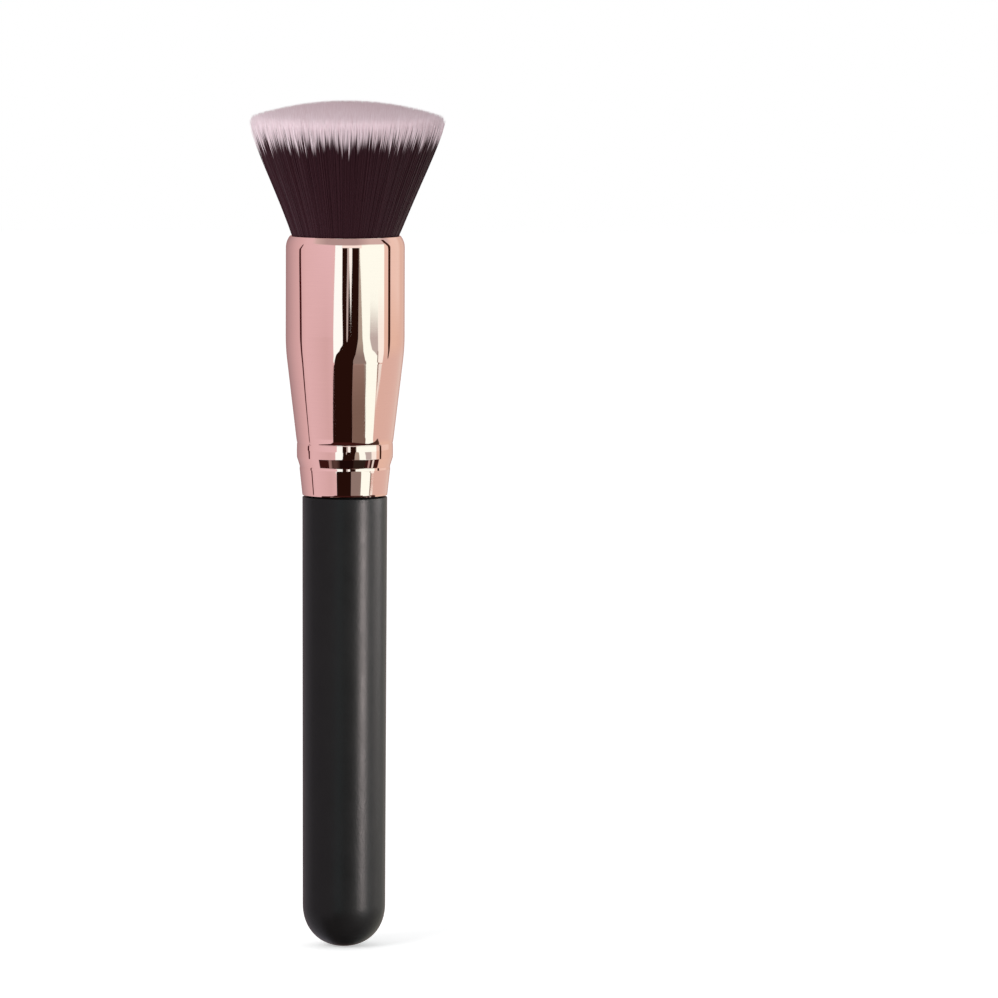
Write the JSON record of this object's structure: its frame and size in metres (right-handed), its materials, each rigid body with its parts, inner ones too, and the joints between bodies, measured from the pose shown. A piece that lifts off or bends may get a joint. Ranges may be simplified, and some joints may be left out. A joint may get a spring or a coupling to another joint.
{
  "type": "flat top foundation brush",
  "caption": "Hand brush with a dense flared head of bristles cut to a gently domed flat top, a tapered crimped metal ferrule and a straight round handle with a domed end.",
  "frame": {"origin": "middle of the small flat at the lower end of the handle's domed butt", "axes": "+Z along the brush's axis from the butt to the bristles; the brush is round, so +X and +Y are any two square directions"},
  "size_m": [0.0378, 0.0378, 0.165],
  "materials": {
    "handle_lacquer": "matte",
    "ferrule_metal": "polished",
    "bristle_fibre": "satin",
    "glued_fibre": "satin",
    "waxed_thread": "matte",
    "potting_resin": "gloss",
    "hard_glue": "satin"
  },
  "bodies": {
    "root": {"handle": "handle_lacquer", "ferrule": "ferrule_metal", "bristle_tuft": "bristle_fibre", "bristle_root": "glued_fibre", "knot_thread": "waxed_thread", "resin_plug": "potting_resin", "spigot_glue": "hard_glue"}
  },
  "joints": []
}
